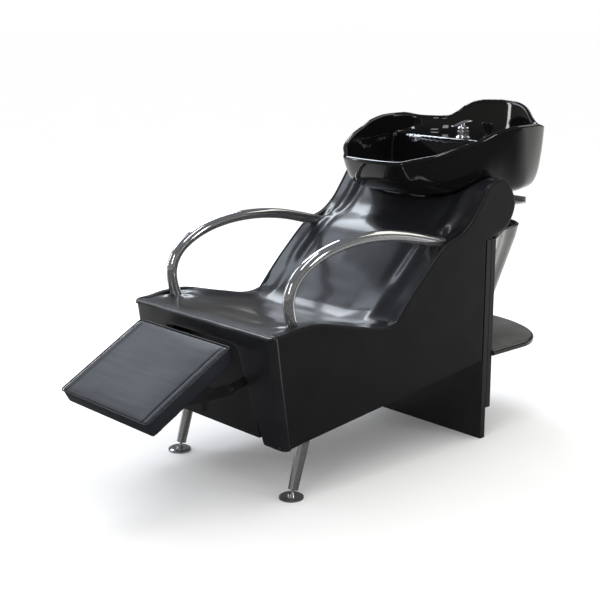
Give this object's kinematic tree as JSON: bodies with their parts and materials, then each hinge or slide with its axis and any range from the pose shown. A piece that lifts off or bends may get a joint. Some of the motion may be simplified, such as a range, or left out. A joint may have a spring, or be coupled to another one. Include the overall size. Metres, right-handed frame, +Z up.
{
  "type": "shampoo backwash unit",
  "caption": "Salon shampoo backwash unit: reclined padded chair with arms and folding legrest, tilting basin with mixer tap, on a boarded pedestal with a rear shelf.",
  "frame": {"origin": "centre of the pedestal front board's foot, on the floor", "axes": "+Z up; the sitter faces -Y; the sitter's left is +X; X = 0 is the middle plane"},
  "size_m": [0.57, 1.4933, 0.9351],
  "materials": {
    "panel_vinyl": "matte black vinyl over foam",
    "seat_vinyl": "satin to gloss black vinyl with blue-grey highlights",
    "legrest_vinyl": "satin slate vinyl",
    "black_board": "black laminated board",
    "plywood": "bare plywood",
    "hardboard": "dark hardboard",
    "chrome": "polished chrome plate",
    "black_steel": "satin black powder coat",
    "grey_steel": "satin grey paint",
    "zinc_steel": "zinc plate",
    "gloss_shell": "gloss black moulding",
    "black_rubber": "black rubber",
    "black_glaze": "black glaze, high gloss",
    "black_plastic": "black plastic",
    "strainer_steel": "brushed stainless steel",
    "white_plastic": "off-white plastic"
  },
  "bodies": {
    "chair": {"arm_pivot_pins": "zinc_steel", "arm_rest_left": "chrome", "arm_rest_right": "chrome", "arm_sockets": "black_steel", "back_board": "plywood", "back_cushion": "seat_vinyl", "base_plate": "black_steel", "bottom_panel": "hardboard", "chair_bolts": "zinc_steel", "cowl_screws": "zinc_steel", "cross_rails": "plywood", "drain_hose": "black_rubber", "front_fascia": "panel_vinyl", "front_leg_left": "chrome", "front_leg_right": "chrome", "front_post_left": "panel_vinyl", "front_post_right": "panel_vinyl", "leg_plates": "black_steel", "lower_cowl": "gloss_shell", "mast": "black_steel", "pedestal_front_board": "black_board", "pedestal_rear_board": "black_board", "pivot_brackets": "black_steel", "rear_panel": "plywood", "recess_board": "black_board", "seat_board": "plywood", "seat_cushion": "seat_vinyl", "shelf": "gloss_shell", "side_bolster_left": "seat_vinyl", "side_bolster_right": "seat_vinyl", "side_panel_left": "panel_vinyl", "side_panel_right": "panel_vinyl", "supply_hoses": "black_rubber", "tilt_bracket": "grey_steel", "upper_cowl": "gloss_shell"},
    "foot_left": {"foot_left": "chrome"},
    "foot_right": {"foot_right": "chrome"},
    "legrest_arms": {"arm_plate_left": "black_steel", "arm_plate_right": "black_steel"},
    "legrest_pad": {"legrest_cushion": "legrest_vinyl", "pad_board": "black_board", "pad_bracket_left": "black_steel", "pad_bracket_right": "black_steel", "pad_bolts": "zinc_steel", "pad_screws": "zinc_steel"},
    "basin_head": {"basin": "black_glaze", "basin_cradle": "black_steel", "tilt_pins": "zinc_steel", "basin_pads": "black_rubber", "drain_flange": "chrome", "drain_nut": "black_plastic", "tap_body": "chrome", "tap_cartridge": "white_plastic", "spray_holder": "chrome", "spray_hose": "black_rubber", "supply_tails": "black_rubber"},
    "mixer_cap": {"tap_cap": "chrome"},
    "mixer_lever": {"tap_lever": "chrome"},
    "hand_spray": {"spray_head": "black_plastic"},
    "strainer": {"hair_strainer": "strainer_steel"}
  },
  "joints": [
    {"name": "legrest_swing", "type": "hinge", "parent": "chair", "child": "legrest_arms", "pos_m": [0, -0.745, 0.312], "axis": [1, 0, 0], "range_deg": [-112.5, 0]},
    {"name": "legrest_fold", "type": "hinge", "parent": "legrest_arms", "child": "legrest_pad", "pos_m": [0, -0.825, 0.294], "axis": [1, 0, 0], "range_deg": [0, 181.3]},
    {"name": "basin_tilt", "type": "hinge", "parent": "chair", "child": "basin_head", "pos_m": [0, 0.215, 0.656], "axis": [-1, 0, 0], "range_deg": [0, 10]},
    {"name": "mixer_swivel", "type": "hinge", "parent": "basin_head", "child": "mixer_cap", "pos_m": [0, 0.205, 0.858], "axis": [0, 0, 1], "range_deg": [-45, 45]},
    {"name": "mixer_lift", "type": "hinge", "parent": "mixer_cap", "child": "mixer_lever", "pos_m": [0, 0.212, 0.868], "axis": [-1, 0, 0], "range_deg": [0, 18]},
    {"name": "spray_pull", "type": "slide", "parent": "basin_head", "child": "hand_spray", "axis": [0, 0, 1], "range_m": [0, 0.12]},
    {"name": "strainer_lift", "type": "slide", "parent": "basin_head", "child": "strainer", "axis": [0, 0, 1], "range_m": [0, 0.05]},
    {"name": "foot_screw_left", "type": "slide", "parent": "chair", "child": "foot_left", "axis": [0, 0.2756, 0.9613], "range_m": [0, 0.004]},
    {"name": "foot_screw_right", "type": "slide", "parent": "chair", "child": "foot_right", "axis": [0, 0.2756, 0.9613], "range_m": [0, 0.004]}
  ],
  "couplings": [
    {"joint": "legrest_fold", "follows": "legrest_swing", "ratio": -1.6116}
  ]
}
